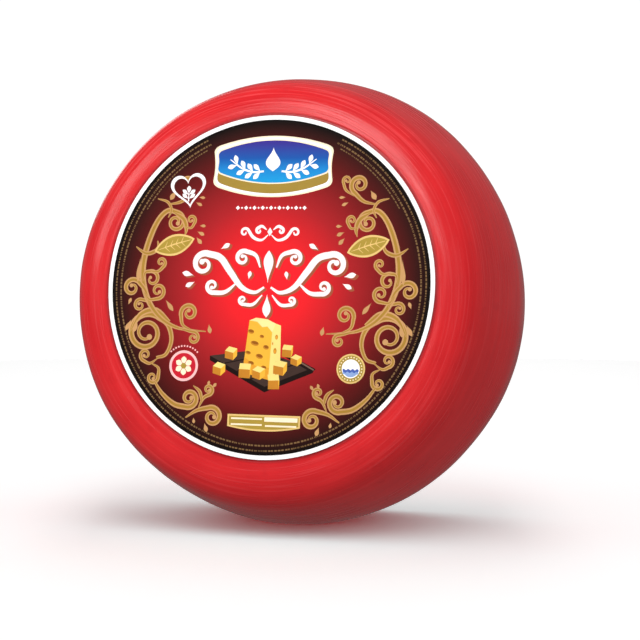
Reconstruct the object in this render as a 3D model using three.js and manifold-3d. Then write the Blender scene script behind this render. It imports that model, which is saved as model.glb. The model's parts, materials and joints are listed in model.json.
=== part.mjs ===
// A wheel of semi-hard cheese in a red coat, standing on its rim, with a round paper label stuck
// on its front face. The cheese and its coat are one piece, and the label is the other.
//
// Units are millimetres and +Z is up. The wheel's axis lies in the YZ plane: the label faces -Y,
// and a little upwards, because the wheel leans back. The origin is on the small flat spot that
// the wheel stands on, straight below the middle of the wheel.

import * as THREE from 'three';
import { mergeVertices } from 'three/addons/utils/BufferGeometryUtils.js';
import Module from 'manifold-3d';

const manifold = await Module();
manifold.setup();

// ---------------------------------------------------------------- driving dimensions

const WHEEL_RADIUS = 115;
const WHEEL_THICKNESS = 112.5;
const FACE_RADIUS = 89; // each round face is flat out to here, where the rounded side begins
const TAPER_SHARE = 0.73; // how much of the side's fall is its even taper, not its shoulders
const TAPER_EXPONENT = 1.1; // how the taper grows from the widest line: 1 is a straight cone
const TAPER_SOFTENING = 0.15; // rounds off the widest line, as a share of half the thickness
const SHOULDER_EXPONENT = 10; // how late the shoulders turn in to the faces
const LEAN = THREE.MathUtils.degToRad(8); // how far the label's face looks up

const REST_SPOT_DEPTH = 1.8; // how much of the rim is pressed flat where it stands

const LABEL_RADIUS = 85;
const LABEL_THICKNESS = 0.3;
const LABEL_GAP = 0.3; // the layer of glue between the coat and the label
const LABEL_SHIFT_RIGHT = 0.7; // the label was stuck on a little off centre
const LABEL_SHIFT_UP = 2.1;

const SEGMENTS_AROUND = 96;
const SEGMENTS_ACROSS_SIDE = 28;
const LABEL_SEGMENTS = 96;

// ---------------------------------------------------------------- materials

const redCoat = new THREE.MeshStandardMaterial({
  color: 0xc8242a,
  roughness: 0.4,
  metalness: 0,
});

const printedPaper = new THREE.MeshStandardMaterial({
  color: 0x8c161c,
  roughness: 0.5,
  metalness: 0,
});

// ---------------------------------------------------------------- cheese wheel

// How far the rounded side stands out, from 0 at a face's edge to 1 at the widest line. The
// argument runs from -1 at the back face to 1 at the front face.
function sideReach(across) {
  const soft = (x) => (x * x + TAPER_SOFTENING * TAPER_SOFTENING) ** (TAPER_EXPONENT / 2);
  const taper = (soft(across) - soft(0)) / (soft(1) - soft(0));
  const shoulder = Math.abs(across) ** SHOULDER_EXPONENT;
  const fall = TAPER_SHARE * taper + (1 - TAPER_SHARE) * shoulder;
  return Math.sqrt(Math.max(1 - fall, 0));
}

// The half section of the wheel as (distance from the axis, distance along the axis), from the
// middle of the back face to the middle of the front face.
function wheelProfile() {
  const halfThickness = WHEEL_THICKNESS / 2;
  const sideDepth = WHEEL_RADIUS - FACE_RADIUS;
  const points = [new THREE.Vector2(0, -halfThickness)];
  for (let i = 0; i <= SEGMENTS_ACROSS_SIDE; i++) {
    const across = Math.sin(Math.PI * (i / SEGMENTS_ACROSS_SIDE - 0.5));
    const radius = FACE_RADIUS + sideDepth * sideReach(across);
    points.push(new THREE.Vector2(radius, halfThickness * across));
  }
  points.push(new THREE.Vector2(0, halfThickness));
  return points;
}

// How far the leaning wheel reaches below its own middle before its rim is pressed flat.
function reachBelowMiddle(profile) {
  const reaches = profile.map((p) => p.x * Math.cos(LEAN) - p.y * Math.sin(LEAN));
  return Math.max(...reaches);
}

function toSolid(geometry) {
  const bare = geometry.clone();
  bare.deleteAttribute('normal');
  bare.deleteAttribute('uv');
  const merged = mergeVertices(bare);
  const mesh = new manifold.Mesh({
    numProp: 3,
    vertProperties: new Float32Array(merged.attributes.position.array),
    triVerts: new Uint32Array(merged.index.array),
  });
  return new manifold.Manifold(mesh);
}

function toGeometry(solid) {
  const mesh = solid.getMesh();
  const geometry = new THREE.BufferGeometry();
  geometry.setAttribute('position', new THREE.BufferAttribute(mesh.vertProperties, 3));
  geometry.setIndex(new THREE.BufferAttribute(mesh.triVerts, 1));
  geometry.computeVertexNormals();
  return geometry;
}

// A block that fills the space below z = 0 under the wheel.
function groundBlock() {
  const size = 4 * WHEEL_RADIUS;
  const block = new THREE.BoxGeometry(size, size, size);
  block.translate(0, 0, -size / 2);
  return block;
}

// The wheel's own frame: X to the right as the label is read, Y out of the front face, Z down.
function makeWheelFrame(profile) {
  const frame = new THREE.Group();
  frame.position.z = reachBelowMiddle(profile) - REST_SPOT_DEPTH;
  frame.rotation.x = Math.PI - LEAN;
  frame.updateMatrixWorld();
  return frame;
}

function makeCheeseWheel(profile, frame) {
  const whole = new THREE.LatheGeometry(profile, SEGMENTS_AROUND);
  const ground = groundBlock().applyMatrix4(frame.matrixWorld.clone().invert());
  const pressed = toSolid(whole).subtract(toSolid(ground));
  const wheel = new THREE.Mesh(toGeometry(pressed), redCoat);
  wheel.name = 'cheese_wheel';
  return wheel;
}

// ---------------------------------------------------------------- label

function makeLabel() {
  const disc = new THREE.CylinderGeometry(
    LABEL_RADIUS,
    LABEL_RADIUS,
    LABEL_THICKNESS,
    LABEL_SEGMENTS,
  );
  const label = new THREE.Mesh(disc, printedPaper);
  label.name = 'label';
  label.position.set(
    LABEL_SHIFT_RIGHT,
    WHEEL_THICKNESS / 2 + LABEL_GAP + LABEL_THICKNESS / 2,
    -LABEL_SHIFT_UP,
  );
  return label;
}

// ---------------------------------------------------------------- assembly

const profile = wheelProfile();
const wheelFrame = makeWheelFrame(profile);
wheelFrame.add(makeCheeseWheel(profile, wheelFrame));
wheelFrame.add(makeLabel());

const cheese = new THREE.Group();
cheese.add(wheelFrame);

export default cheese;
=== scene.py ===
import json
import math

import bpy
from mathutils import Matrix, Vector, noise
from mathutils.geometry import delaunay_2d_cdt


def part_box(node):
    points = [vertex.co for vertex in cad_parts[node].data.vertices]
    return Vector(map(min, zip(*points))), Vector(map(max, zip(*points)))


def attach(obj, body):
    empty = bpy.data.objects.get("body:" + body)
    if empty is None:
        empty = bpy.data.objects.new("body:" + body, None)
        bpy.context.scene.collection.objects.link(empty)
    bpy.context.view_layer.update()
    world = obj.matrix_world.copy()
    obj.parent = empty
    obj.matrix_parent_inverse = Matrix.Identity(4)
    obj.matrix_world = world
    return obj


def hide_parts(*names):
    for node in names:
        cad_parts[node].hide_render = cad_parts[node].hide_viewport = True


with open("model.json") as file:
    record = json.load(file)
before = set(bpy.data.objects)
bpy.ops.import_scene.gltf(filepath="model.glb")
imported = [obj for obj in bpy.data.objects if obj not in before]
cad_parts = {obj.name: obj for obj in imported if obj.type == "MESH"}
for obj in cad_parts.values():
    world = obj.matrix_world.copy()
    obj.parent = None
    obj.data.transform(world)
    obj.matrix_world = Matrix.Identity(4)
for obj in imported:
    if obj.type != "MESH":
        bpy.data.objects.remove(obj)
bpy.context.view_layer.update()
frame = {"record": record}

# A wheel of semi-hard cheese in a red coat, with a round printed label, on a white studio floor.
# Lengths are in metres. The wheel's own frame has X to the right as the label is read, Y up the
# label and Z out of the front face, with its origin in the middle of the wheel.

MM = 0.001

# ---------------------------------------------------------------- sizes from the frame

back_face = next(m for m in frame["record"]["mounts"] if m["name"] == "back_face")
FRONT = -Vector(back_face["axis"]).normalized()
RIGHT = Vector((1, 0, 0))
UP_THE_LABEL = FRONT.cross(RIGHT)
HALF_THICKNESS = back_face["pos_m"][1] / back_face["axis"][1]
WHEEL_MIDDLE = Vector(back_face["pos_m"]) + FRONT * HALF_THICKNESS

wheel_low, wheel_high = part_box("cheese_wheel")
WHEEL_RADIUS = (wheel_high.x - wheel_low.x) / 2

label_low, label_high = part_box("label")
LABEL_RADIUS = (label_high.x - label_low.x) / 2
LABEL_MIDDLE = (label_low + label_high) / 2

# The shape of the rounded side, as in the CAD part.
FACE_RADIUS = 89 * MM
TAPER_SHARE = 0.73
TAPER_EXPONENT = 1.1
TAPER_SOFTENING = 0.15
SHOULDER_EXPONENT = 10


def frame_at(middle):
    """The wheel's own axes, with the origin at middle."""
    axes = Matrix((RIGHT, UP_THE_LABEL, FRONT)).transposed().to_4x4()
    return Matrix.Translation(middle) @ axes


WHEEL_FRAME = frame_at(WHEEL_MIDDLE)
LABEL_IN_WHEEL = WHEEL_FRAME.inverted() @ LABEL_MIDDLE


def srgb(red, green, blue):
    """A colour given as 0 to 255 screen values, as the linear numbers that shaders take."""
    def linear(value):
        share = value / 255
        return share / 12.92 if share <= 0.04045 else ((share + 0.055) / 1.055) ** 2.4
    return (linear(red), linear(green), linear(blue), 1.0)


def add_object(name, data):
    """A new object in the scene for a mesh, a light or a camera."""
    new_object = bpy.data.objects.new(name, data)
    bpy.context.scene.collection.objects.link(new_object)
    return new_object


# ---------------------------------------------------------------- node helpers

class Nodes:
    """Short calls for building one material's node tree."""

    def __init__(self, name):
        self.material = bpy.data.materials.new(name)
        self.material.use_nodes = True
        self.tree = self.material.node_tree
        self.shader = self.tree.nodes["Principled BSDF"]

    def new(self, kind, **settings):
        node = self.tree.nodes.new(kind)
        for key, value in settings.items():
            setattr(node, key, value)
        return node

    def feed(self, socket, value):
        if isinstance(value, bpy.types.NodeSocket):
            self.tree.links.new(value, socket)
        else:
            socket.default_value = value

    def math(self, operation, a, b=0.0):
        node = self.new("ShaderNodeMath", operation=operation)
        self.feed(node.inputs[0], a)
        self.feed(node.inputs[1], b)
        return node.outputs[0]

    def place(self):
        """Where the point is in the wheel's own frame, as a vector and as its x, y and z."""
        vector = self.new("ShaderNodeAttribute", attribute_name="place").outputs["Vector"]
        split = self.new("ShaderNodeSeparateXYZ")
        self.feed(split.inputs[0], vector)
        return vector, split.outputs

    def vector(self, x, y, z):
        node = self.new("ShaderNodeCombineXYZ")
        for socket, value in zip(node.inputs, (x, y, z)):
            self.feed(socket, value)
        return node.outputs[0]

    def length(self, x, y):
        """How long the flat vector (x, y) is."""
        squares = [self.math("MULTIPLY", part, part) for part in (x, y)]
        return self.math("SQRT", self.math("ADD", *squares))

    def noise(self, vector, scale, detail):
        node = self.new("ShaderNodeTexNoise")
        self.feed(node.inputs["Vector"], vector)
        node.inputs["Scale"].default_value = scale
        node.inputs["Detail"].default_value = detail
        return node.outputs["Fac"]

    def specks(self, vector, scale, size, rarity):
        """Small round specks, one in some of the cells of a Voronoi pattern. Size is a share of a
        cell, and a rarity of 1 leaves no speck."""
        node = self.new("ShaderNodeTexVoronoi")
        self.feed(node.inputs["Vector"], vector)
        node.inputs["Scale"].default_value = scale
        near = self.remap(node.outputs["Distance"], size, 0.6 * size)
        split = self.new("ShaderNodeSeparateXYZ")
        self.feed(split.inputs[0], node.outputs["Color"])
        return self.math("MULTIPLY", near, self.math("GREATER_THAN", split.outputs[0], rarity))

    def remap(self, value, low, high, to_low=0.0, to_high=1.0, smooth=False):
        """The value carried from low...high to to_low...to_high, and held at the ends."""
        node = self.new("ShaderNodeMapRange", clamp=True)
        node.interpolation_type = "SMOOTHSTEP" if smooth else "LINEAR"
        self.feed(node.inputs[0], value)
        for socket, number in zip(node.inputs[1:5], (low, high, to_low, to_high)):
            socket.default_value = number
        return node.outputs[0]

    def ramp(self, value, stops):
        """The colour that the value stands for, between stops of (value, colour)."""
        node = self.new("ShaderNodeValToRGB")
        elements = node.color_ramp.elements
        while len(elements) < len(stops):
            elements.new(0.5)
        for element, (position, colour) in zip(elements, stops):
            element.position = position
            element.color = colour
        self.feed(node.inputs[0], value)
        return node.outputs[0]

    def mix(self, share, a, b):
        """A colour between a and b. Sockets 6, 7 and 2 are the node's colour ones."""
        node = self.new("ShaderNodeMix", data_type="RGBA")
        self.feed(node.inputs[0], share)
        self.feed(node.inputs[6], a)
        self.feed(node.inputs[7], b)
        return node.outputs[2]

    def bump(self, height, distance, strength, normal=None):
        node = self.new("ShaderNodeBump")
        node.inputs["Strength"].default_value = strength
        node.inputs["Distance"].default_value = distance
        self.feed(node.inputs["Height"], height)
        if normal is not None:
            self.feed(node.inputs["Normal"], normal)
        return node.outputs[0]


def from_label_middle(n, x, y):
    """The distance from the middle of the label, across the face."""
    return n.length(
        n.math("SUBTRACT", x, LABEL_IN_WHEEL.x), n.math("SUBTRACT", y, LABEL_IN_WHEEL.y))


# ---------------------------------------------------------------- red coat

RED = srgb(214, 38, 42)
DEEP_RED = srgb(206, 30, 36)
HIGHLIGHT_LINE = srgb(238, 84, 88)
DARK_LINE = srgb(170, 18, 28)
DARK_BAND = srgb(180, 22, 28)
DARK_PATCH = srgb(186, 26, 32)
PALE_SPECK = srgb(246, 128, 128)
DARK_SPECK = srgb(140, 12, 22)
PAINTED_LABEL_SHADOW = srgb(96, 12, 20)

# How many features of each pattern fit in a metre.
LINES_SCALE = 900
BANDS_SCALE = 240
STREAK_PATCHES_SCALE = 14
MOTTLE_SCALE = 34
PATCHES_SCALE = 130
PALE_SPECKS_SCALE = 55
DARK_SPECKS_SCALE = 34

LABEL_SHADOW_START = LABEL_RADIUS + 0.4 * MM  # a painted shadow line round the label fades out from here
LABEL_SHADOW_END = LABEL_RADIUS + 2.4 * MM
COAT_IOR = 1.46


def streaks(n, x, y, radius, around_scale, across_scale, detail):
    """Noise that is drawn out round the wheel's axis, like the marks of turning."""
    near_axis = n.math("MAXIMUM", radius, 1 * MM)
    across = n.new("ShaderNodeAttribute", attribute_name="across").outputs["Fac"]
    vector = n.vector(
        n.math("MULTIPLY", n.math("DIVIDE", x, near_axis), around_scale),
        n.math("MULTIPLY", n.math("DIVIDE", y, near_axis), around_scale),
        n.math("MULTIPLY", across, across_scale),
    )
    return n.noise(vector, 1.0, detail)


def red_coat_material():
    """Red wax with fine turned lines, painted lighter as highlight streaks and strongest on the
    shoulders near the top where the highlight falls, broad bands, a mottled ground, a few specks
    and a painted shadow line round the label."""
    n = Nodes("red_coat")
    place, (x, y, z) = n.place()
    radius = n.length(x, y)
    lines = streaks(n, x, y, radius, 2.0, LINES_SCALE, 1.0)
    bands = streaks(n, x, y, radius, 1.8, BANDS_SCALE, 2.0)
    mottle = n.noise(place, MOTTLE_SCALE, 3.0)
    patches = n.noise(place, PATCHES_SCALE, 2.0)
    streak_patches = n.noise(place, STREAK_PATCHES_SCALE, 1.0)

    # Where the marks are: 0 in the middle of a face, 1 on the shoulders.
    off_face = n.remap(radius, 0.30 * FACE_RADIUS, 0.95 * FACE_RADIUS, smooth=True)
    near_face = n.remap(
        n.math("ABSOLUTE", z), 0.55 * HALF_THICKNESS, 0.86 * HALF_THICKNESS, smooth=True)
    # Painted highlight: the lines grow stronger towards the top, where the highlight falls on the
    # shoulders.
    toward_lit_top = n.remap(y, -0.35 * FACE_RADIUS, 0.75 * FACE_RADIUS, 0.25, 1.0)
    patchy_lit_share = n.math("MULTIPLY", n.remap(streak_patches, 0.38, 0.60, 0.3, 1.0), toward_lit_top)
    lined = n.math("MULTIPLY", n.math("MULTIPLY", near_face, off_face), patchy_lit_share)

    # (where it is, how strong it is there, colour) of each layer, laid on in turn.
    layers = (
        # The pale lines are turning marks painted lighter and pinker as highlight streaks; the dark
        # lines are the marks between them.
        (n.remap(lines, 0.54, 0.64), n.remap(lined, 0, 1, 0.05, 0.36), HIGHLIGHT_LINE),
        (n.remap(lines, 0.45, 0.36), n.remap(lined, 0, 1, 0.03, 0.22), DARK_LINE),
        (n.remap(bands, 0.60, 0.40), n.remap(off_face, 0, 1, 0.04, 0.20), DARK_BAND),
        (n.remap(patches, 0.62, 0.75), 0.3, DARK_PATCH),
        (n.specks(place, PALE_SPECKS_SCALE, 0.045, 0.70), 0.6, PALE_SPECK),
        (n.specks(place, DARK_SPECKS_SCALE, 0.030, 0.80), 0.6, DARK_SPECK),
        # A painted shadow line round the label's edge, on the front face only.
        (n.math("GREATER_THAN", z, 0), n.remap(
            from_label_middle(n, x, y), LABEL_SHADOW_START, LABEL_SHADOW_END, 0.62, 0, smooth=True),
         PAINTED_LABEL_SHADOW),
    )
    colour = n.mix(n.remap(mottle, 0.35, 0.65), RED, DEEP_RED)
    for where, strength, layer in layers:
        colour = n.mix(n.math("MULTIPLY", where, strength), colour, layer)
    n.feed(n.shader.inputs["Base Color"], colour)

    roughness = n.math(
        "ADD", n.remap(lines, 0.3, 0.7, 0.17, 0.28), n.remap(mottle, 0.35, 0.65, -0.02, 0.04))
    n.feed(n.shader.inputs["Roughness"], roughness)
    bumped = n.bump(n.math("MULTIPLY", bands, off_face), 0.5 * MM, 0.4)
    ridges = n.math("MULTIPLY", lines, n.remap(lined, 0, 1, 0.15, 1.0))
    n.feed(n.shader.inputs["Normal"], n.bump(ridges, 0.26 * MM, 0.7, bumped))
    n.shader.inputs["IOR"].default_value = COAT_IOR
    return n.material


# ---------------------------------------------------------------- wheel

AROUND = 480  # the mesh's steps round the axis
ACROSS_SIDE = 120
ACROSS_FACE = 10
SWELL = 0.35 * MM
SWELL_SCALE = 22
RIPPLE = 0.10 * MM
RIPPLE_SCALE = 70
FLAT_BESIDE_LABEL = 12 * MM  # the swells come back to full height over this distance
REST_EDGE = 0.4 * MM  # how softly the rim turns into the flat spot


def side_reach(across):
    """How far the rounded side stands out, from 0 at a face's edge to 1 at the widest line."""
    def soft(value):
        return (value * value + TAPER_SOFTENING ** 2) ** (TAPER_EXPONENT / 2)
    taper = (soft(across) - soft(0)) / (soft(1) - soft(0))
    fall = TAPER_SHARE * taper + (1 - TAPER_SHARE) * abs(across) ** SHOULDER_EXPONENT
    return math.sqrt(max(1 - fall, 0))


def wheel_profile():
    """(distance from the axis, distance along it), from the front face's middle to the back's."""
    front = [(FACE_RADIUS * i / ACROSS_FACE, HALF_THICKNESS) for i in range(1, ACROSS_FACE)]
    side = []
    for i in range(ACROSS_SIDE + 1):
        across = math.cos(math.pi * i / ACROSS_SIDE)
        radius = FACE_RADIUS + (WHEEL_RADIUS - FACE_RADIUS) * side_reach(across)
        side.append((radius, HALF_THICKNESS * across))
    back = [(radius, -along) for radius, along in reversed(front)]
    return front + side + back


def wheel_shape():
    """The wheel's points in its own frame, their outward directions and lengths, and the faces."""
    profile = wheel_profile()
    rows = len(profile)
    points, outward, lengths = [Vector((0, 0, HALF_THICKNESS))], [Vector((0, 0, 1))], [0.0]
    length = 0.0
    for i, (radius, along) in enumerate(profile):
        before = profile[i - 1] if i else (0, HALF_THICKNESS)
        after = profile[i + 1] if i + 1 < rows else (0, -HALF_THICKNESS)
        length += math.hypot(radius - before[0], along - before[1])
        slope = Vector((before[1] - after[1], after[0] - before[0])).normalized()
        for j in range(AROUND):
            c = math.cos(2 * math.pi * j / AROUND)
            s = math.sin(2 * math.pi * j / AROUND)
            points.append(Vector((radius * c, radius * s, along)))
            outward.append(Vector((slope.x * c, slope.x * s, slope.y)))
            lengths.append(length)
    points.append(Vector((0, 0, -HALF_THICKNESS)))
    outward.append(Vector((0, 0, -1)))
    lengths.append(length + profile[-1][0])

    faces = []
    last = 1 + (rows - 1) * AROUND
    for j in range(AROUND):
        k = (j + 1) % AROUND
        faces.append((0, 1 + j, 1 + k))
        faces.append((last + AROUND, last + k, last + j))
        for i in range(rows - 1):
            a = 1 + i * AROUND
            b = a + AROUND
            faces.append((a + j, b + j, b + k, a + k))
    return points, outward, lengths, faces


def swollen(point, outward):
    """Gentle swells of a hand-turned cheese. They fade out under the label, which lies flat."""
    clear = 1.0
    if point.z > 0:
        from_label = math.hypot(point.x, point.y) - LABEL_RADIUS
        clear = min(max(from_label / FLAT_BESIDE_LABEL, 0), 1)
    height = SWELL * noise.noise(point * SWELL_SCALE) + RIPPLE * noise.noise(point * RIPPLE_SCALE)
    return point + outward * (height * clear)


def pressed(point):
    """The rim is pressed flat against the floor, with a soft edge round the flat spot."""
    if point.z < 10 * REST_EDGE:
        point.z = (point.z + math.hypot(point.z, REST_EDGE)) / 2
    return point


def store_places(mesh, places):
    """Each point's place in the wheel's own frame, for the materials to read."""
    attribute = mesh.attributes.new("place", "FLOAT_VECTOR", "POINT")
    attribute.data.foreach_set("vector", [number for place in places for number in place])


def make_wheel():
    points, outward, lengths, faces = wheel_shape()
    shaped = [pressed(WHEEL_FRAME @ swollen(p, o)) for p, o in zip(points, outward)]
    mesh = bpy.data.meshes.new("coated_cheese")
    mesh.from_pydata(shaped, [], faces)
    store_places(mesh, points)
    mesh.attributes.new("across", "FLOAT", "POINT").data.foreach_set("value", lengths)
    mesh.polygons.foreach_set("use_smooth", [True] * len(mesh.polygons))
    mesh.materials.append(red_coat_material())
    mesh.update()
    wheel = add_object("coated_cheese", mesh)
    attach(wheel, "root")
    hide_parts("cheese_wheel")
    return wheel


# ---------------------------------------------------------------- label artwork
# The artwork is drawn in label units: the label's radius is 1, X to the right and Y up.
# Shapes are laid over one another in the order they are drawn.

class Artwork:
    """The shapes of the label's print, each with the name of its ink."""

    def __init__(self):
        self.points = []
        self.polygons = []
        self.inks = []

    def fill(self, ink, outline):
        """One closed shape, given once round in either direction."""
        area = sum(
            a[0] * b[1] - b[0] * a[1] for a, b in zip(outline, outline[1:] + outline[:1]))
        if abs(area) < 1e-9:
            return
        if area < 0:
            outline = outline[::-1]
        start = len(self.points)
        self.points.extend(outline)
        self.polygons.append(list(range(start, start + len(outline))))
        self.inks.append(ink)

    def band(self, ink, left, right):
        """A strip between two lines of as many points."""
        for i in range(len(left) - 1):
            self.fill(ink, [left[i], right[i], right[i + 1]])
            self.fill(ink, [left[i], right[i + 1], left[i + 1]])


art = Artwork()


def circle(x, y, radius, steps=48):
    return [
        (x + radius * math.cos(2 * math.pi * i / steps),
         y + radius * math.sin(2 * math.pi * i / steps))
        for i in range(steps)
    ]


def turned(points, angle, x, y):
    """Points turned by an angle in degrees and then moved by x, y."""
    c, s = math.cos(math.radians(angle)), math.sin(math.radians(angle))
    return [(x + c * px - s * py, y + s * px + c * py) for px, py in points]


def mirrored(points, side):
    """The points as they are for a side of 1, and mirrored left to right for -1."""
    return [(side * x, y) for x, y in points]


def leaf_outline(length, width, steps=14):
    """A pointed leaf along X, centred on the origin."""
    top = []
    for i in range(steps + 1):
        share = i / steps
        top.append((length * (share - 0.5), width / 2 * math.sin(math.pi * share) ** 0.8))
    bottom = [(x, -y) for x, y in reversed(top[1:-1])]
    return top + bottom


def petal_outline(length, width, steps=12):
    """A drop with its point at the origin and its round end along X."""
    top = []
    for i in range(steps + 1):
        share = i / steps
        top.append((length * share, width / 2 * math.sin(math.pi * share ** 1.6)))
    bottom = [(x, -y) for x, y in reversed(top[1:-1])]
    return top + bottom


def smooth_line(knots, steps=10):
    """A smooth line through the knots (Catmull-Rom)."""
    ends = [
        tuple(2 * a - b for a, b in zip(knots[0], knots[1])),
        tuple(2 * a - b for a, b in zip(knots[-1], knots[-2])),
    ]
    knots = [ends[0], *knots, ends[1]]
    line = []
    for p0, p1, p2, p3 in zip(knots, knots[1:], knots[2:], knots[3:]):
        for i in range(steps):
            t = i / steps
            line.append(tuple(
                0.5 * (2 * b + (c - a) * t + (2 * a - 5 * b + 4 * c - d) * t * t
                       + (3 * b - a - 3 * c + d) * t ** 3)
                for a, b, c, d in zip(p0, p1, p2, p3)))
    line.append(knots[-2])
    return line


def curl_from(line, radius, turns, hand, steps_per_turn=36):
    """The line carried on into a spiral. hand is 1 to turn left and -1 to turn right."""
    (x0, y0), (x1, y1) = line[-2], line[-1]
    heading = math.atan2(y1 - y0, x1 - x0)
    middle_x = x1 - hand * radius * math.sin(heading)
    middle_y = y1 + hand * radius * math.cos(heading)
    start = heading - hand * math.pi / 2
    steps = max(int(turns * steps_per_turn), 4)
    curl = []
    for i in range(1, steps + 1):
        share = i / steps
        angle = start + hand * 2 * math.pi * turns * share
        reach = radius * (1 - 0.72 * share ** 0.9)
        curl.append((middle_x + reach * math.cos(angle), middle_y + reach * math.sin(angle)))
    return line + curl


WIDEST_AT = 0.45  # the share of a brush stroke's length where it is widest


def ribbon(ink, line, width, start_share=0.25, end_share=0.45):
    """A brush stroke along a line. It starts and ends at these shares of its full width."""
    lengths = [0.0]
    for (x0, y0), (x1, y1) in zip(line, line[1:]):
        lengths.append(lengths[-1] + math.hypot(x1 - x0, y1 - y0))
    left, right = [], []
    for i, (x, y) in enumerate(line):
        x0, y0 = line[max(i - 1, 0)]
        x1, y1 = line[min(i + 1, len(line) - 1)]
        size = math.hypot(x1 - x0, y1 - y0) or 1.0
        share = lengths[i] / lengths[-1]
        if share < WIDEST_AT:
            rise = math.sin(math.pi / 2 * share / WIDEST_AT)
            thick = start_share + (1 - start_share) * rise
        else:
            rise = math.cos(math.pi / 2 * (share - WIDEST_AT) / (1 - WIDEST_AT))
            thick = end_share + (1 - end_share) * rise
        dx = -(y1 - y0) / size * width / 2 * thick
        dy = (x1 - x0) / size * width / 2 * thick
        left.append((x + dx, y + dy))
        right.append((x - dx, y - dy))
    art.band(ink, left, right)


def gold_scroll(side, width, start_share, end_share, curl, ball, knots):
    """A pale gold stroke through the knots with a darker one down its middle. It can end in a
    spiral (radius, turns, hand) with a ball in it."""
    line = smooth_line(knots)
    if curl:
        line = curl_from(line, *curl)
    line = mirrored(line, side)
    ribbon("gold_pale", line, width, start_share, end_share)
    ribbon("gold_deep", line, width * 0.45, start_share, end_share)
    if ball:
        art.fill("gold_pale", circle(*line[-1], ball, 16))


WHITE_BORDER = 0.975  # the printed ground starts here


def draw_ground():
    art.fill("white", circle(0, 0, 1.0, 180))
    art.fill("ground", circle(0, 0, WHITE_BORDER, 180))


def draw_fine_rings():
    """Rings of fine gold dashes in the dark rim. They leave the top free."""
    rings = (
        (0.949, 0.0085, 26, 334), (0.919, 0.0095, 25, 335), (0.897, 0.0065, 27, 60),
        (0.897, 0.0065, 300, 333),
    )
    for seed, (radius, height, first, last) in enumerate(rings):
        angle = math.radians(first)
        count = 0
        while angle < math.radians(last):
            count += 1
            wobble = 0.5 + 0.5 * math.sin(count * 12.9898 + seed * 4.1)
            long = (0.004 + 0.012 * wobble) / radius
            gap = (0.006 + 0.003 * math.sin(count * 3.7 + seed)) / radius
            inner, outer = radius - height / 2, radius + height / 2
            corners = [
                (inner, angle), (outer, angle), (outer, angle + long), (inner, angle + long)]
            art.fill("gold_print", [(r * math.sin(a), r * math.cos(a)) for r, a in corners])
            angle += long + gap


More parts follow.
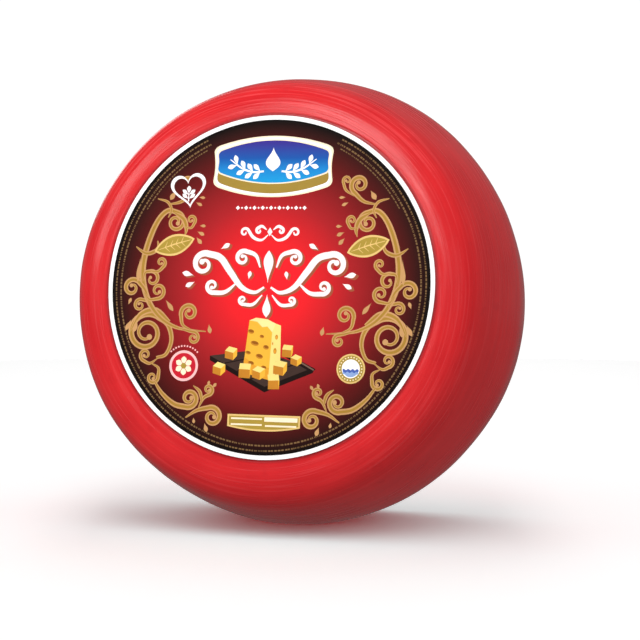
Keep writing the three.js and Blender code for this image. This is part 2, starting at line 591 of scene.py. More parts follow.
# The scrollwork of the right side, which the left side mirrors. Each row is a scroll: its width,
# the shares of it at the start and the end, its spiral, the ball in the spiral, and its knots.
SCROLLS = (
    # The big scroll low on the side, with a leaf over it.
    (0.036, 0.50, 0.45, (0.116, 1.70, -1), 0.017,
     [(0.672, -0.428), (0.612, -0.405), (0.582, -0.320), (0.610, -0.232), (0.682, -0.184)]),
    (0.036, 0.50, 0.15, None, 0,
     [(0.600, -0.215), (0.690, -0.150), (0.785, -0.175), (0.848, -0.278)]),
    (0.022, 0.25, 0.45, (0.036, 1.15, -1), 0.009,
     [(0.700, -0.158), (0.742, -0.100), (0.785, -0.086)]),
    # The main stem, from its foot up the side to a curl at the top.
    (0.038, 0.15, 0.45, (0.058, 1.30, 1), 0.013,
     [(0.368, -0.268), (0.460, -0.262), (0.560, -0.246), (0.655, -0.196), (0.730, -0.110),
      (0.775, 0.000), (0.785, 0.120), (0.757, 0.258), (0.705, 0.380), (0.645, 0.440),
      (0.580, 0.430)]),
    # Curls on the outer side of the stem.
    (0.030, 0.25, 0.45, (0.054, 1.20, -1), 0.012,
     [(0.735, -0.115), (0.762, -0.035), (0.808, 0.018)]),
    (0.026, 0.25, 0.20, None, 0,
     [(0.700, 0.262), (0.694, 0.225), (0.722, 0.196), (0.775, 0.188), (0.836, 0.226)]),
    (0.018, 0.30, 0.30, None, 0,
     [(0.640, 0.400), (0.622, 0.445), (0.648, 0.492), (0.712, 0.512)]),
    # Curls on its inner side.
    (0.024, 0.25, 0.45, (0.046, 1.15, -1), 0.011,
     [(0.765, -0.045), (0.735, -0.085), (0.678, -0.080)]),
    (0.024, 0.25, 0.45, (0.048, 0.90, 1), 0.010,
     [(0.782, 0.020), (0.770, 0.072), (0.735, 0.082)]),
    (0.022, 0.25, 0.45, (0.030, 1.00, -1), 0.008,
     [(0.745, 0.085), (0.690, 0.080), (0.652, 0.112)]),
    # Curls at the foot of the stem.
    (0.028, 0.25, 0.45, (0.053, 1.25, 1), 0.012,
     [(0.458, -0.262), (0.515, -0.232), (0.530, -0.172)]),
    (0.022, 0.25, 0.45, (0.036, 1.15, 1), 0.010,
     [(0.540, -0.250), (0.478, -0.266), (0.440, -0.272)]),
    # A chain of small curls down to the lower rim.
    (0.022, 0.25, 0.45, (0.036, 1.10, 1), 0.010,
     [(0.664, -0.432), (0.712, -0.462), (0.756, -0.446)]),
    (0.024, 0.25, 0.45, (0.036, 1.15, 1), 0.010,
     [(0.700, -0.462), (0.655, -0.490), (0.655, -0.545)]),
    # The stem along the lower rim, with its curls and sprig.
    (0.034, 0.40, 0.45, (0.054, 1.30, -1), 0.013,
     [(0.676, -0.568), (0.622, -0.638), (0.545, -0.696), (0.462, -0.712)]),
    (0.032, 0.25, 0.45, (0.056, 1.30, 1), 0.013,
     [(0.470, -0.772), (0.400, -0.728), (0.318, -0.708)]),
    (0.024, 0.25, 0.45, (0.030, 1.10, -1), 0.009,
     [(0.392, -0.712), (0.362, -0.655), (0.322, -0.632)]),
    (0.022, 0.40, 0.20, None, 0,
     [(0.372, -0.680), (0.388, -0.620), (0.430, -0.585)]),
    # The crown of curls at the top.
    (0.030, 0.25, 0.45, (0.054, 1.30, -1), 0.012,
     [(0.640, 0.478), (0.560, 0.496), (0.496, 0.552)]),
    (0.018, 0.25, 0.45, (0.026, 1.00, -1), 0.008,
     [(0.505, 0.525), (0.452, 0.560), (0.432, 0.608)]),
    (0.034, 0.30, 0.10, None, 0,
     [(0.600, 0.428), (0.542, 0.390), (0.522, 0.335), (0.530, 0.290)]),
    (0.020, 0.25, 0.45, (0.028, 1.00, -1), 0.008,
     [(0.532, 0.345), (0.492, 0.340), (0.470, 0.372)]),
)

# (x, y, angle, length, width) of the loose petals between the scrolls.
SCROLL_PETALS = (
    (0.804, 0.165, -86, 0.150, 0.030), (0.598, 0.560, -58, 0.065, 0.030),
    (0.452, 0.318, 205, 0.050, 0.022), (0.456, 0.284, 228, 0.052, 0.024),
    (0.440, 0.352, 182, 0.040, 0.018), (0.470, 0.490, 205, 0.045, 0.018),
    (0.452, 0.520, 185, 0.040, 0.016), (0.632, -0.085, 232, 0.085, 0.026),
    (0.352, -0.225, 258, 0.055, 0.026), (0.868, -0.120, 112, 0.045, 0.020),
    (0.842, -0.205, -62, 0.075, 0.026), (0.806, -0.200, -80, 0.080, 0.026),
    (0.312, -0.598, 128, 0.040, 0.018), (0.342, -0.588, 108, 0.036, 0.016),
    (0.350, -0.800, 252, 0.055, 0.026), (0.420, -0.770, 262, 0.035, 0.018),
)


def draw_scrolls():
    """Gold scrollwork up each side."""
    for side in (-1, 1):
        for scroll in SCROLLS:
            gold_scroll(side, *scroll)
        for x, y, angle, length, width in SCROLL_PETALS:
            petal = turned(petal_outline(length, width), angle, x, y)
            art.fill("gold_pale", mirrored(petal, side))


def draw_leaf_badges():
    """Two gold leaves, one on each side of the title."""
    y, angle = 0.238, 17
    for x in (-0.592, 0.598):
        art.fill("gold_light", turned(leaf_outline(0.262, 0.122), angle, x, y))
        art.fill("gold_leaf", turned(leaf_outline(0.232, 0.098), angle, x, y))
        rib = [(-0.105, 0.0), (0.0, 0.004), (0.105, 0.0)]
        ribbon("gold_light", turned(rib, angle, x, y), 0.008)
        for along in (-0.060, -0.025, 0.010, 0.045):
            for half in (-1, 1):
                vein = [(along, 0.002), (along + 0.022, half * 0.030)]
                ribbon("gold_light", turned(vein, angle, x, y), 0.006, 0.9, 0.3)


def plaque_outline(half_width, top, bottom, top_rise, bottom_drop, waist, inset=0.0):
    """A plaque with an arched top and bottom and sides that curve in."""
    steps = 24
    outline = []
    for i in range(steps + 1):
        share = 1 - 2 * i / steps
        outline.append((share * (half_width - inset), top - inset + top_rise * (1 - share ** 2)))
    for i in range(1, steps):
        share = i / steps
        bow = math.sin(math.pi * share) * waist
        outline.append((
            -(half_width - inset) + bow, (top - inset) + (bottom - top + 2 * inset) * share))
    for i in range(steps + 1):
        share = -1 + 2 * i / steps
        drop = bottom_drop * (1 - share ** 2)
        outline.append((share * (half_width - inset), bottom + inset - drop))
    for i in range(1, steps):
        share = i / steps
        bow = math.sin(math.pi * share) * waist
        outline.append((
            (half_width - inset) - bow, (bottom + inset) + (top - bottom - 2 * inset) * share))
    return outline


def rounded(outline, reach, spacing=0.006):
    """A closed outline with its corners rounded, by averaging it over a distance each way."""
    even = []
    for (x0, y0), (x1, y1) in zip(outline, outline[1:] + outline[:1]):
        steps = max(round(math.hypot(x1 - x0, y1 - y0) / spacing), 1)
        even += [(x0 + (x1 - x0) * i / steps, y0 + (y1 - y0) * i / steps) for i in range(steps)]
    half = round(reach / spacing)
    total = len(even)
    near = [[even[(i + j) % total] for j in range(-half, half + 1)] for i in range(0, total, 2)]
    return [
        (sum(x for x, y in some) / len(some), sum(y for x, y in some) / len(some))
        for some in near
    ]


def draw_top_plaque():
    """A plain blue plaque with a white sprig and drop."""
    shape = dict(half_width=0.362, top=0.802, bottom=0.600, top_rise=0.068, bottom_drop=0.070,
                 waist=0.014)
    art.fill("cream", rounded(plaque_outline(**shape, inset=-0.010), 0.040))
    art.fill("white", rounded(plaque_outline(**shape, inset=-0.001), 0.036))
    art.fill("gold_band", rounded(plaque_outline(**shape, inset=0.012), 0.032))
    upper = dict(shape, bottom=0.655, bottom_drop=0.068, waist=0.010)
    art.fill("cream", rounded(plaque_outline(**upper, inset=0.010), 0.032))
    art.fill("blue", rounded(plaque_outline(**upper, inset=0.017), 0.030))
    art.fill("white", turned(petal_outline(0.140, 0.090), -90, 0.0, 0.812))
    for side in (-1, 1):
        twig = smooth_line([(0.055, 0.672), (0.120, 0.668), (0.190, 0.690), (0.265, 0.742)])
        ribbon("white", mirrored(twig, side), 0.012, 0.9, 0.4)
        for i in range(4):
            x, y = twig[3 + 7 * i]
            for half in (-1, 1):
                blade = turned(petal_outline(0.062, 0.028), half * 44 + 10 * i, x, y)
                art.fill("white", mirrored(blade, side))


def draw_dotted_line(y, half_width, count, size):
    """A row of small white lozenges, large and small in turn."""
    for i in range(count):
        x = half_width * (2 * i / (count - 1) - 1)
        reach = size * (1.0 if i % 2 == 0 else 0.55)
        art.fill("white", [(x - reach, y), (x, y - reach), (x + reach, y), (x, y + reach)])


def draw_flourish(ink, shift_x, shift_y, grow):
    """A calligraphic ornament of mirrored scrolls and petals, in the place of a title."""
    def stroke(knots, width, curl, side, **shape):
        line = curl_from(smooth_line(knots), *curl)
        line = [(side * x + shift_x, y + shift_y) for x, y in line]
        ribbon(ink, line, width + grow, **shape)
        x, y = line[-1]
        art.fill(ink, circle(x, y, (width + grow) * 0.42, 16))

    def petal(x, y, angle, length, width, side):
        outline = turned(petal_outline(length + grow, width + grow), angle, x, y)
        art.fill(ink, [(side * px + shift_x, py + shift_y) for px, py in outline])

    scrolls = (
        ([(0.020, -0.005), (0.080, -0.035), (0.160, -0.005), (0.235, 0.085), (0.300, 0.165),
          (0.385, 0.190)], 0.040, (0.066, 1.15, -1)),
        ([(0.050, 0.110), (0.080, 0.180), (0.145, 0.205)], 0.027, (0.044, 1.1, -1)),
        ([(0.190, 0.020), (0.260, -0.035), (0.340, -0.040)], 0.027, (0.040, 1.05, 1)),
        ([(0.030, -0.050), (0.085, -0.105), (0.150, -0.105)], 0.020, (0.026, 1.0, 1)),
    )
    petals = (
        (0.460, 0.060, 12, 0.075, 0.032), (0.452, 0.022, -26, 0.065, 0.028),
        (0.300, 0.215, 150, 0.065, 0.028), (0.118, 0.040, 100, 0.050, 0.024),
    )
    for side in (-1, 1):
        for knots, width, curl in scrolls:
            stroke(knots, width, curl, side, start_share=0.3, end_share=0.4)
        for values in petals:
            petal(*values, side)
    petal(0.0, -0.045, -90, 0.135, 0.050, 1)
    petal(0.0, 0.020, 90, 0.190, 0.060, 1)


def draw_small_flourish():
    """Two small curls on each side and a lozenge, over the large ornament."""
    for side in (-1, 1):
        for knots, curl in (
            ([(0.010, 0.300), (0.050, 0.270), (0.100, 0.285), (0.135, 0.330)], (0.026, 0.95, -1)),
            ([(0.020, 0.330), (0.050, 0.350), (0.075, 0.340)], (0.018, 0.85, -1)),
        ):
            line = mirrored(curl_from(smooth_line(knots), *curl), side)
            ribbon("title_white", line, 0.019)
    art.fill("title_white", [(-0.016, 0.318), (0, 0.292), (0.016, 0.318), (0, 0.344)])


def draw_title():
    draw_dotted_line(0.458, 0.205, 17, 0.0125)
    draw_small_flourish()
    draw_flourish("title_shade", 0.013, -0.009, 0.004)
    draw_flourish("title_white", 0.0, 0.0, 0.0)


def draw_cube(x, y, size, turn):
    """A cube of cheese seen from above: a top and two sides."""
    def corner(angle):
        a = math.radians(angle + turn)
        return (x + size * math.cos(a), y + 0.5 * size * math.sin(a))
    a, b, c, d = (corner(angle) for angle in (0, 90, 180, 270))
    low = [(px, py - size * 1.05) for px, py in (a, c, d)]
    art.fill("cheese_dark", [c, d, low[2], low[1]])
    art.fill("cheese_mid", [d, a, low[0], low[2]])
    art.fill("cheese_light", [a, b, c, d])


def draw_cheese_picture():
    """A block of cheese with holes, and cubes, on a dark wooden board."""
    board = [(-0.335, -0.408), (-0.055, -0.368), (0.300, -0.462), (0.010, -0.580)]
    art.fill("slate_edge", [board[0], board[3], (0.010, -0.612), (-0.335, -0.434)])
    art.fill("slate_edge", [board[3], board[2], (0.300, -0.492), (0.010, -0.612)])
    art.fill("slate", board)
    for share in (0.25, 0.5, 0.75):
        start = [a + share * (b - a) for a, b in zip(board[0], board[3])]
        end = [a + share * (b - a) for a, b in zip(board[1], board[2])]
        ribbon("slate_edge", [start, [(a + b) / 2 for a, b in zip(start, end)], end], 0.006, 1, 1)
    stick = [(0.105, -0.395), (0.125, -0.378), (0.315, -0.470), (0.295, -0.492)]
    art.fill("slate_edge", stick)
    ribbon("slate_light", [(0.120, -0.386), (0.215, -0.430), (0.304, -0.476)], 0.009, 0.9, 0.9)

    for x, y, size, turn in ((-0.205, -0.370, 0.040, 20), (0.140, -0.350, 0.040, 35),
                             (0.195, -0.405, 0.034, 10)):
        draw_cube(x, y, size, turn)
    front = [(-0.130, -0.500), (0.030, -0.540), (0.042, -0.265), (0.012, -0.232), (-0.020, -0.236),
             (-0.052, -0.205), (-0.100, -0.198)]
    right = [(0.030, -0.540), (0.100, -0.485), (0.094, -0.225), (0.062, -0.214), (0.042, -0.265)]
    top = [(-0.100, -0.198), (-0.052, -0.205), (-0.020, -0.236), (0.012, -0.232),
           (0.042, -0.265), (0.062, -0.214), (0.010, -0.190), (-0.060, -0.182)]
    art.fill("cheese_mid", front)
    art.fill("cheese_light", right)
    art.fill("cheese_pale", top)
    shade = [(-0.130, -0.500), (0.030, -0.540), (0.033, -0.470), (-0.040, -0.468), (-0.122, -0.410)]
    art.fill("cheese_gold", shade)
    holes = ((-0.088, -0.262, 0.020, 0.013), (-0.020, -0.290, 0.014, 0.010),
             (-0.062, -0.330, 0.026, 0.014), (0.008, -0.352, 0.018, 0.013),
             (-0.100, -0.385, 0.017, 0.010), (-0.030, -0.405, 0.023, 0.014),
             (-0.080, -0.445, 0.020, 0.012), (0.000, -0.468, 0.017, 0.010))
    for x, y, wide, high in holes:
        hole = [(wide * px, high * py) for px, py in circle(0, 0, 1, 20)]
        art.fill("cheese_dark", turned(hole, -14, x, y))
        art.fill("cheese_hole", turned([(0.8 * px, 0.62 * py) for px, py in hole], -14,
                                       x + 0.002, y + 0.22 * high))
    for x, y, wide, high in ((0.070, -0.292, 0.009, 0.014), (0.064, -0.372, 0.010, 0.017),
                             (0.078, -0.440, 0.007, 0.011), (0.048, -0.330, 0.004, 0.008)):
        art.fill("cheese_dark", [(x + wide * px, y + high * py) for px, py in circle(0, 0, 1, 16)])
        art.fill("cheese_gold", [
            (x + 0.6 * wide * px, y - 0.2 * high + 0.6 * high * py) for px, py in circle(0, 0, 1, 16)])
    for x, y, size, turn in ((-0.275, -0.462, 0.040, 15), (-0.115, -0.465, 0.048, 40),
                             (-0.030, -0.480, 0.040, 12), (0.100, -0.445, 0.046, 25),
                             (0.062, -0.525, 0.048, 50)):
        draw_cube(x, y, size, turn)


def heart_outline(width, steps=64):
    """A heart with its middle at the origin."""
    outline = []
    for i in range(steps):
        angle = 2 * math.pi * i / steps
        x = 16 * math.sin(angle) ** 3
        y = 13 * math.cos(angle) - 5 * math.cos(2 * angle) - 2 * math.cos(3 * angle)
        outline.append((width * x / 32, width * (y - math.cos(4 * angle) + 2.5) / 32))
    return outline


def draw_dots(ink, x, y, radius, size, angles):
    """Dots on a circle round x, y, at these angles in degrees."""
    for angle in map(math.radians, angles):
        art.fill(ink, circle(x + radius * math.cos(angle), y + radius * math.sin(angle), size, 8))


def draw_flower_seal(x, y):
    art.fill("pale_pink", circle(x, y, 0.090))
    art.fill("seal_red", circle(x, y, 0.075))
    for i in range(6):
        art.fill("cream", turned(petal_outline(0.056, 0.034), 60 * i + 30, x, y))
    art.fill("gold_leaf", circle(x, y, 0.017, 16))
    draw_dots("pale_pink", x, y, 0.116, 0.0055, range(45, 136, 9))


def draw_wave_seal(x, y):
    art.fill("gold_light", circle(x, y, 0.085))
    art.fill("gold_leaf", circle(x, y, 0.076))
    draw_dots("cream", x, y, 0.066, 0.0042, range(0, 360, 15))
    art.fill("white", circle(x, y, 0.054))
    for i, ink in enumerate(("seal_blue", "pale_blue")):
        level = y - 0.004 - 0.016 * i
        wave = [(x - 0.048 + 0.008 * j, level + 0.005 * math.sin(j * 1.9 + i)) for j in range(13)]
        reach = [math.radians(a) for a in range(-10, -171, -16)]
        bowl = [(x + 0.048 * math.cos(a), min(y + 0.048 * math.sin(a), level - 0.01)) for a in reach]
        art.fill(ink, wave + bowl)


def draw_heart_badge(x, y):
    """A heart with a sprig in it."""
    art.fill("white", turned(heart_outline(0.222), 8, x, y))
    art.fill("ground", turned(heart_outline(0.182), 8, x, y))
    ribbon("white", [(x, y - 0.060), (x, y - 0.010)], 0.009, 0.9, 0.7)
    art.fill("white", turned(petal_outline(0.048, 0.026), 90, x, y - 0.016))
    for half in (-1, 1):
        for step in range(2):
            root = y - 0.046 + 0.024 * step
            art.fill("white", turned(petal_outline(0.050, 0.022), 90 - half * 52, x, root))


def draw_foot_plaque():
    """The gold strip near the foot of the label, which follows the rim's curve below."""
    middle = 0.014

    def strip(inset):
        steps = 24
        half = 0.222 - inset
        bottom = []
        for i in range(steps + 1):
            x = -half + 2 * half * i / steps
            bottom.append((middle + x, -0.812 + inset - 0.024 * (1 - (x / 0.222) ** 2)))
        return bottom + [(middle + half, -0.742 - inset), (middle - half, -0.742 - inset)]
    art.fill("gold_light", strip(0.0))
    art.fill("gold_leaf", strip(0.010))
    for x0, x1, y, width in (
            (-0.200, -0.010, -0.766, 0.010), (-0.200, -0.010, -0.800, 0.010),
            (0.004, 0.206, -0.767, 0.026), (0.010, 0.200, -0.804, 0.010)):
        bar = [(middle + x, y) for x in (x0, (x0 + x1) / 2, x1)]
        ribbon("cream", bar, width, 0.95, 0.95)


def draw_label():
    draw_ground()
    draw_fine_rings()
    draw_scrolls()
    draw_leaf_badges()
    draw_top_plaque()
    draw_title()
    draw_cheese_picture()
    draw_flower_seal(-0.497, -0.471)
    draw_wave_seal(0.525, -0.463)
    draw_heart_badge(-0.517, 0.556)
    draw_foot_plaque()


# ---------------------------------------------------------------- label materials

INK_VARIES = 0.06
BLOTCH_SCALE = 60
PAPER_GRAIN_SCALE = 2600
PRINT_SHEEN = 0.08


def print_material(name, colour):
    """A printed ink whose colour varies a little."""
    n = Nodes(name)
    place, _ = n.place()
    blotch = n.noise(place, BLOTCH_SCALE, 3.0)
    darker, lighter = (
        tuple(min(part * share, 1) for part in colour[:3]) + (1.0,)
        for share in (1 - INK_VARIES, 1 + INK_VARIES))
    n.feed(n.shader.inputs["Base Color"], n.mix(n.remap(blotch, 0.3, 0.7), darker, lighter))
    finish_print(n, place)
    return n.material


def finish_print(n, place):
    """The paper's grain, which shows faintly in the dull varnish."""
    grain = n.noise(place, PAPER_GRAIN_SCALE, 2.0)
    n.feed(n.shader.inputs["Roughness"], n.remap(grain, 0.3, 0.7, 0.46, 0.54))
    n.feed(n.shader.inputs["Normal"], n.bump(grain, 0.02 * MM, 0.25))
    n.shader.inputs["Specular IOR Level"].default_value = PRINT_SHEEN


def ground_material():
    """The printed ground: bright red in the middle, maroon and then black at the rim."""
    n = Nodes("label_ground")
    place, (x, y, _) = n.place()
    share = n.math("DIVIDE", from_label_middle(n, x, y), LABEL_RADIUS)
    stops = (
        (0.10, srgb(239, 31, 41)), (0.25, srgb(231, 32, 39)), (0.50, srgb(169, 31, 36)),
        (0.75, srgb(102, 19, 19)), (0.90, srgb(54, 17, 14)), (0.965, srgb(17, 10, 8)),
    )
    n.feed(n.shader.inputs["Base Color"], n.ramp(share, stops))
    finish_print(n, place)
    return n.material


def blue_material():
    """The blue of the top plaque, which lightens downwards."""
    n = Nodes("label_blue")
    place, (_, y, _) = n.place()
    height = n.remap(
        y, LABEL_IN_WHEEL.y + 0.60 * LABEL_RADIUS, LABEL_IN_WHEEL.y + 0.84 * LABEL_RADIUS)
    stops = ((0.0, srgb(28, 155, 216)), (0.35, srgb(30, 130, 200)), (0.62, srgb(28, 84, 165)),
             (1.0, srgb(58, 48, 140)))
    n.feed(n.shader.inputs["Base Color"], n.ramp(height, stops))
    finish_print(n, place)
    return n.material


def label_materials():
    plain = {
        "white": srgb(255, 250, 249),
        "title_white": srgb(255, 236, 236),
        "title_shade": srgb(160, 84, 58),
        "cream": srgb(252, 232, 200),
        "gold_pale": srgb(198, 150, 98),
        "gold_deep": srgb(168, 128, 52),
        "gold_light": srgb(226, 190, 118),
        "gold_leaf": srgb(170, 142, 58),
        "gold_band": srgb(160, 132, 56),
        "gold_print": srgb(124, 94, 60),
        "pale_pink": srgb(250, 190, 188),
        "seal_red": srgb(196, 30, 48),
        "seal_blue": srgb(70, 96, 176),
        "pale_blue": srgb(140, 166, 214),
        "cheese_pale": srgb(250, 226, 150),
        "cheese_light": srgb(246, 218, 128),
        "cheese_mid": srgb(240, 178, 58),
        "cheese_gold": srgb(226, 156, 46),
        "cheese_dark": srgb(196, 128, 40),
        "cheese_hole": srgb(150, 88, 26),
        "slate": srgb(66, 48, 42),
        "slate_light": srgb(120, 92, 78),
        "slate_edge": srgb(30, 18, 16),
    }
    made = {ink: print_material("label_" + ink, colour) for ink, colour in plain.items()}
    made["ground"] = ground_material()
    made["blue"] = blue_material()
    return made


# ---------------------------------------------------------------- label

LABEL_BACK = 0.03 * MM  # above the front face
LABEL_FRONT = 0.45 * MM
ONLY_INSIDE = 1  # the setting that keeps the triangles inside the shapes
MERGE_WITHIN = 1e-6  # of one another, in label units
MAP_REACH = 0.495  # of the label's front from the middle of the map
MAP_SPOT = 0.03  # the place and size in the map of the label's edge and back
MAP_SPOT_REACH = 0.02


def make_label():
    """The label as one mesh, in which each place has the ink of the last shape drawn there."""
    draw_label()
    materials = label_materials()
    names = list(materials)
    points, _, triangles, _, _, sources = delaunay_2d_cdt(
        [Vector(p) for p in art.points], [], art.polygons, ONLY_INSIDE, MERGE_WITHIN)

    places = [(
        LABEL_IN_WHEEL.x + p.x * LABEL_RADIUS,
        LABEL_IN_WHEEL.y + p.y * LABEL_RADIUS,
        HALF_THICKNESS + LABEL_FRONT,
    ) for p in points]
    faces, slots = [], []
    for triangle, source in zip(triangles, sources):
        if source:
            faces.append(tuple(triangle))
            slots.append(names.index(art.inks[max(source)]))
    fronts = len(faces)

    # The cut edge and the back of the paper.
    sides = {(a, b) for face in faces for a, b in zip(face, face[1:] + face[:1])}
    rim = sorted((a, b) for a, b in sides if (b, a) not in sides)
    below = {}
    for a, _ in rim:
        below[a] = len(places)
        places.append((places[a][0], places[a][1], HALF_THICKNESS + LABEL_BACK))
    middle = len(places)
    places.append((LABEL_IN_WHEEL.x, LABEL_IN_WHEEL.y, HALF_THICKNESS + LABEL_BACK))
    for a, b in rim:
        faces.append((b, a, below[a], below[b]))
        faces.append((below[b], below[a], middle))
        slots.extend([names.index("white")] * 2)

    mesh = bpy.data.meshes.new("round_label")
    mesh.from_pydata([WHEEL_FRAME @ Vector(place) for place in places], [], faces)
    store_places(mesh, places)
    for name in names:
        mesh.materials.append(materials[name])
    mesh.polygons.foreach_set("material_index", slots)
    lay_out_map(mesh, places, fronts)
    mesh.update()
    label = add_object("round_label", mesh)
    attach(label, "root")
    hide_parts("label")
    return label


def lay_out_map(mesh, places, fronts):
    """A flat map of the label's front that fills the square. The edge and back use one corner."""
    layer = mesh.uv_layers.new(name="OFBake")
    flat = []
    for polygon in mesh.polygons:
        for vertex in polygon.vertices:
            u = (places[vertex][0] - LABEL_IN_WHEEL.x) / LABEL_RADIUS
            v = (places[vertex][1] - LABEL_IN_WHEEL.y) / LABEL_RADIUS
            if polygon.index < fronts:
                flat.extend((0.5 + MAP_REACH * u, 0.5 + MAP_REACH * v))
            else:
                flat.extend((MAP_SPOT + MAP_SPOT_REACH * u, MAP_SPOT + MAP_SPOT_REACH * v))
    layer.data.foreach_set("uv", flat)


# ---------------------------------------------------------------- floor, light and camera

FLOOR_RADIUS = 1.1
FLOOR_STEPS = 96
FLOOR_WHITE = (1.3, 1.3, 1.3, 1)
FLOOR_NEAR_CHEESE = (1.3, 1.72, 1.72, 1)  # takes out most of the red light that the coat throws
TINT_FULL_WITHIN = 0.02  # of the origin
TINT_GONE_BEYOND = 0.15
FLOOR_BOUNCE = (0.30, 0.30, 0.30, 1)
FLOOR_GLOW = 0.27
FLOOR_IN_GLOSS = 0.13


def make_floor():
    """A round white floor. It shows bright white, but sends only a dim light up at the cheese."""
    turns = [2 * math.pi * i / FLOOR_STEPS for i in range(FLOOR_STEPS)]
    rim = [(FLOOR_RADIUS * math.cos(turn), FLOOR_RADIUS * math.sin(turn), 0) for turn in turns]
    mesh = bpy.data.meshes.new("studio_floor")
    mesh.from_pydata(rim, [], [tuple(range(FLOOR_STEPS))])
    floor = add_object("studio_floor", mesh)
    n = Nodes("studio_floor")
    n.tree.nodes.remove(n.shader)

    bounce = n.new("ShaderNodeBsdfDiffuse")
    bounce.inputs["Color"].default_value = FLOOR_BOUNCE
    glow = n.new("ShaderNodeEmission")
    glow.inputs["Strength"].default_value = FLOOR_GLOW
    dim = n.new("ShaderNodeAddShader")
    n.feed(dim.inputs[0], bounce.outputs[0])
    n.feed(dim.inputs[1], glow.outputs[0])

    in_gloss = n.new("ShaderNodeEmission")
    in_gloss.inputs["Strength"].default_value = FLOOR_IN_GLOSS

    white = n.new("ShaderNodeBsdfDiffuse")
    from_origin = n.new("ShaderNodeVectorMath", operation="LENGTH")
    n.feed(from_origin.inputs[0], n.new("ShaderNodeNewGeometry").outputs["Position"])
    near_cheese = n.remap(
        from_origin.outputs["Value"], TINT_GONE_BEYOND, TINT_FULL_WITHIN, smooth=True)
    n.feed(white.inputs["Color"], n.mix(near_cheese, FLOOR_WHITE, FLOOR_NEAR_CHEESE))

    path = n.new("ShaderNodeLightPath")
    lit = dim.outputs[0]
    for ray, shader in (("Is Glossy Ray", in_gloss), ("Is Camera Ray", white)):
        choose = n.new("ShaderNodeMixShader")
        n.feed(choose.inputs[0], path.outputs[ray])
        n.feed(choose.inputs[1], lit)
        n.feed(choose.inputs[2], shader.outputs[0])
        lit = choose.outputs[0]
    n.feed(n.tree.nodes["Material Output"].inputs["Surface"], lit)
    mesh.materials.append(n.material)


ROOM_LIGHT = 0.56
ROOM_IN_GLOSS = 0.07
BACKDROP_IN_GLOSS = 0.18
BACKDROP_EDGE = (0.10, 0.30)  # where the backdrop starts, as the Y of a direction
WHITE_BEHIND = 1.05


def make_world():
    """A studio that is white behind the cheese. In the coat's gloss it is a pale backdrop behind
    and a dim room in front."""
    world = bpy.data.worlds.new("studio")
    bpy.context.scene.world = world
    world.use_nodes = True
    tree = world.node_tree
    tree.nodes.clear()
    path = tree.nodes.new("ShaderNodeLightPath")

    def background(strength):
        node = tree.nodes.new("ShaderNodeBackground")
        node.inputs["Color"].default_value = (1, 1, 1, 1)
        node.inputs["Strength"].default_value = strength
        return node

    def choose(ray, otherwise, chosen):
        node = tree.nodes.new("ShaderNodeMixShader")
        tree.links.new(path.outputs[ray], node.inputs[0])
        tree.links.new(otherwise.outputs[0], node.inputs[1])
        tree.links.new(chosen.outputs[0], node.inputs[2])
        return node

    direction = tree.nodes.new("ShaderNodeSeparateXYZ")
    coordinates = tree.nodes.new("ShaderNodeTexCoord")
    tree.links.new(coordinates.outputs["Generated"], direction.inputs[0])
    backdrop = tree.nodes.new("ShaderNodeMapRange")
    backdrop.interpolation_type = "SMOOTHSTEP"
    tree.links.new(direction.outputs["Y"], backdrop.inputs[0])
    edge = (*BACKDROP_EDGE, ROOM_IN_GLOSS, BACKDROP_IN_GLOSS)
    for socket, value in zip(backdrop.inputs[1:5], edge):
        socket.default_value = value
    in_gloss = background(ROOM_IN_GLOSS)
    tree.links.new(backdrop.outputs[0], in_gloss.inputs["Strength"])

    lit = choose("Is Glossy Ray", background(ROOM_LIGHT), in_gloss)
    shown = choose("Is Camera Ray", lit, background(WHITE_BEHIND))
    out = tree.nodes.new("ShaderNodeOutputWorld")
    tree.links.new(shown.outputs[0], out.inputs[0])


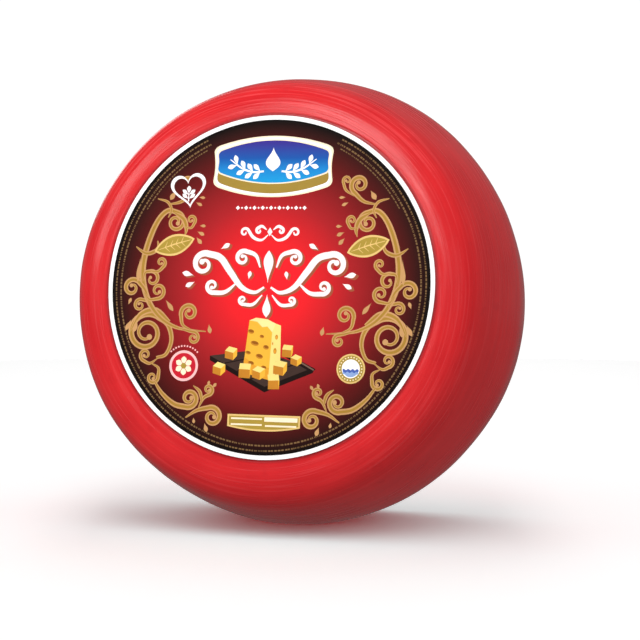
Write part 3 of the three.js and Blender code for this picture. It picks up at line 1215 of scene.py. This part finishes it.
# (name, place, width, height, power, whether the gloss shows it) of the lights on the cheese.
CHEESE_LIGHTS = (
    ("key", (-0.42, -0.85, 0.60), 0.50, 0.50, 2.1, False),
    ("softbox", (-0.10, -0.88, 0.78), 0.42, 0.70, 4.0, True),
    ("side", (-0.78, -0.66, 0.56), 0.42, 0.42, 1.7, True),
    ("fill", (0.60, -0.80, 0.42), 0.50, 0.30, 1.3, False),
    ("rim", (-0.73, 0.85, 0.48), 0.40, 0.40, 0.8, True),
)


def area_light(name, place, width, height, power, in_gloss):
    """A soft light that faces down."""
    data = bpy.data.lights.new(name, "AREA")
    data.shape = "RECTANGLE"
    data.size = width
    data.size_y = height
    data.energy = power
    light = add_object(name, data)
    light.location = place
    light.visible_glossy = in_gloss
    return light


def make_lights(cheese):
    """Lights for the cheese alone, and a long strip overhead that lights the floor as well."""
    for name, place, *settings in CHEESE_LIGHTS:
        light = area_light(name, place, *settings)
        ahead = WHEEL_MIDDLE - Vector(place)
        light.rotation_euler = ahead.to_track_quat("-Z", "Y").to_euler()
        light.light_linking.receiver_collection = cheese
    strip = area_light("overhead", (0, 0, 1.3), 0.4, 3.0, 7.5, False)
    strip.rotation_euler = (0, 0, math.radians(CAMERA_AZIMUTH))


CAMERA_AZIMUTH = 18.38
CAMERA_ELEVATION = 3.31
CAMERA_DISTANCE = 1.035
CAMERA_LENS = 112.45
WHEEL_IN_PICTURE = (-8.86 * MM, 9.56 * MM)  # right of and above the middle of the picture


def make_camera():
    azimuth = math.radians(CAMERA_AZIMUTH)
    elevation = math.radians(CAMERA_ELEVATION)
    back = Vector((
        math.sin(azimuth) * math.cos(elevation),
        -math.cos(azimuth) * math.cos(elevation),
        math.sin(elevation),
    ))
    right = Vector((math.cos(azimuth), math.sin(azimuth), 0))
    up = back.cross(right)
    aim = WHEEL_MIDDLE - right * WHEEL_IN_PICTURE[0] - up * WHEEL_IN_PICTURE[1]
    data = bpy.data.cameras.new("camera")
    data.lens = CAMERA_LENS
    camera = add_object("camera", data)
    camera.location = aim + back * CAMERA_DISTANCE
    camera.rotation_euler = (-back).to_track_quat("-Z", "Y").to_euler()
    bpy.context.scene.camera = camera


make_camera()
make_world()
make_floor()
cheese = bpy.data.collections.new("cheese")
cheese.objects.link(make_wheel())
cheese.objects.link(make_label())
make_lights(cheese)
bpy.context.scene.view_settings.view_transform = "Standard"
